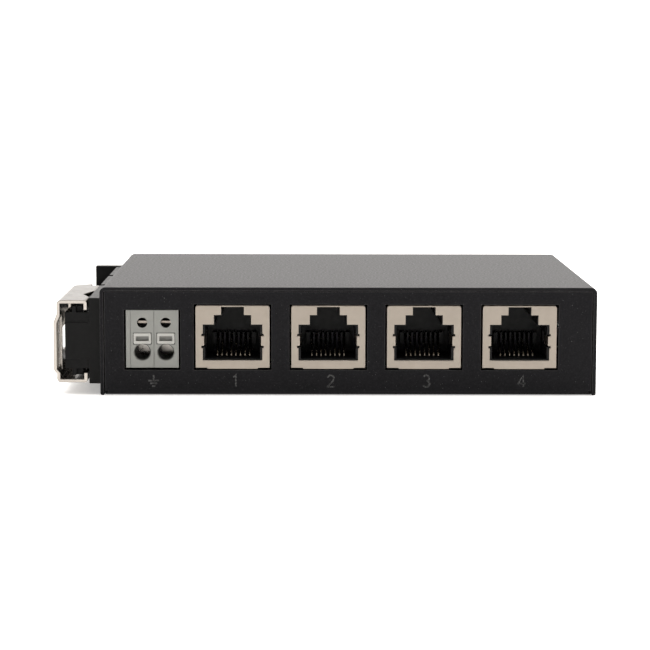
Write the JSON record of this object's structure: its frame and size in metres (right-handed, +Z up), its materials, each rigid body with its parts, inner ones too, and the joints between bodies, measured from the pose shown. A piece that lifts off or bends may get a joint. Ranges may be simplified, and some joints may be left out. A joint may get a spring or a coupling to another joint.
{
  "type": "compact rail-mounted network switch",
  "caption": "Compact network switch in a folded black sheet case: a row of shielded network jacks, a grey push-in earth terminal, and a sprung mounting-rail foot on one side.",
  "frame": {"origin": "middle of the case's underside, which is the face it rests on", "axes": "+X to the right along the row of ports, +Y from the port panel to the rear panel, +Z up; the rail foot is on -X"},
  "size_m": [0.1193, 0.08, 0.0235],
  "materials": {
    "case_coat": "fine-texture powder coat, matte black",
    "black_screw": "black zinc",
    "board_laminate": "green solder mask over glass-epoxy laminate",
    "zinc_steel": "zinc plated",
    "insulating_film": "dark polyester film",
    "shield_nickel": "nickel-plated sheet, satin",
    "jack_black": "black glass-filled nylon",
    "gold_contact": "thin gold plate over bronze",
    "terminal_grey": "light grey polyamide",
    "button_grey": "lighter grey polyamide",
    "spring_steel": "stainless spring strip",
    "tinned_copper": "tin plated copper",
    "epoxy_black": "moulded epoxy",
    "heat_sink_black": "black anodised",
    "nickel_can": "nickel can",
    "ceramic_white": "white ceramic",
    "varistor_blue": "dipped epoxy",
    "capacitor_sleeve": "printed sleeve over aluminium",
    "ferrite_grey": "pressed ferrite powder",
    "lamp_body": "milky diode block",
    "clear_acrylic": "clear moulded acrylic",
    "foot_black": "black glass-filled polyamide",
    "slide_nickel": "nickel-plated spring steel"
  },
  "bodies": {
    "case": {"base_chassis": "case_coat", "top_cover": "case_coat", "cover_screws": "black_screw", "foot_screws": "black_screw", "circuit_board": "board_laminate", "board_standoffs": "zinc_steel", "board_screws": "zinc_steel", "insulating_sheet": "insulating_film", "pe_terminal_housing": "terminal_grey", "pe_clamp_spring_1": "spring_steel", "pe_clamp_spring_2": "spring_steel", "pe_busbars": "tinned_copper", "power_terminal_housing": "terminal_grey", "power_clamp_spring_1": "spring_steel", "power_clamp_spring_2": "spring_steel", "power_busbars": "tinned_copper", "port_transformers": "epoxy_black", "port_suppressors": "epoxy_black", "switch_chip": "epoxy_black", "chip_heat_sink": "heat_sink_black", "clock_crystal": "nickel_can", "memory_chip": "epoxy_black", "regulator_chip": "epoxy_black", "input_fuse": "ceramic_white", "surge_varistor": "varistor_blue", "bulk_capacitors": "capacitor_sleeve", "power_inductor": "ferrite_grey", "chip_resistors": "epoxy_black", "status_lights": "lamp_body", "light_pipes": "clear_acrylic", "din_foot_body": "foot_black", "din_slide_spring": "spring_steel", "jack_1_shield": "shield_nickel", "jack_1_insulator": "jack_black", "jack_1_contacts": "gold_contact", "jack_2_shield": "shield_nickel", "jack_2_insulator": "jack_black", "jack_2_contacts": "gold_contact", "jack_3_shield": "shield_nickel", "jack_3_insulator": "jack_black", "jack_3_contacts": "gold_contact", "jack_4_shield": "shield_nickel", "jack_4_insulator": "jack_black", "jack_4_contacts": "gold_contact"},
    "din_slide": {"din_slide": "slide_nickel"},
    "pe_button_1": {"pe_button_1": "button_grey"},
    "pe_button_2": {"pe_button_2": "button_grey"},
    "power_button_1": {"power_button_1": "button_grey"},
    "power_button_2": {"power_button_2": "button_grey"}
  },
  "joints": [
    {"name": "din_slide_pull", "type": "slide", "parent": "case", "child": "din_slide", "axis": [0, -1, 0], "range_m": [0, 0.0045], "stiffness_N_per_m": 1500, "springref_m": -0.002, "deforming": ["din_slide_spring"]},
    {"name": "pe_button_1_press", "type": "slide", "parent": "case", "child": "pe_button_1", "axis": [0, 1, 0], "range_m": [0, 0.0012], "stiffness_N_per_m": 4000, "springref_m": -0.0005, "deforming": ["pe_clamp_spring_1"]},
    {"name": "pe_button_2_press", "type": "slide", "parent": "case", "child": "pe_button_2", "axis": [0, 1, 0], "range_m": [0, 0.0012], "stiffness_N_per_m": 4000, "springref_m": -0.0005, "deforming": ["pe_clamp_spring_2"]},
    {"name": "power_button_1_press", "type": "slide", "parent": "case", "child": "power_button_1", "axis": [0, -1, 0], "range_m": [0, 0.0012], "stiffness_N_per_m": 4000, "springref_m": -0.0005, "deforming": ["power_clamp_spring_1"]},
    {"name": "power_button_2_press", "type": "slide", "parent": "case", "child": "power_button_2", "axis": [0, -1, 0], "range_m": [0, 0.0012], "stiffness_N_per_m": 4000, "springref_m": -0.0005, "deforming": ["power_clamp_spring_2"]}
  ]
}
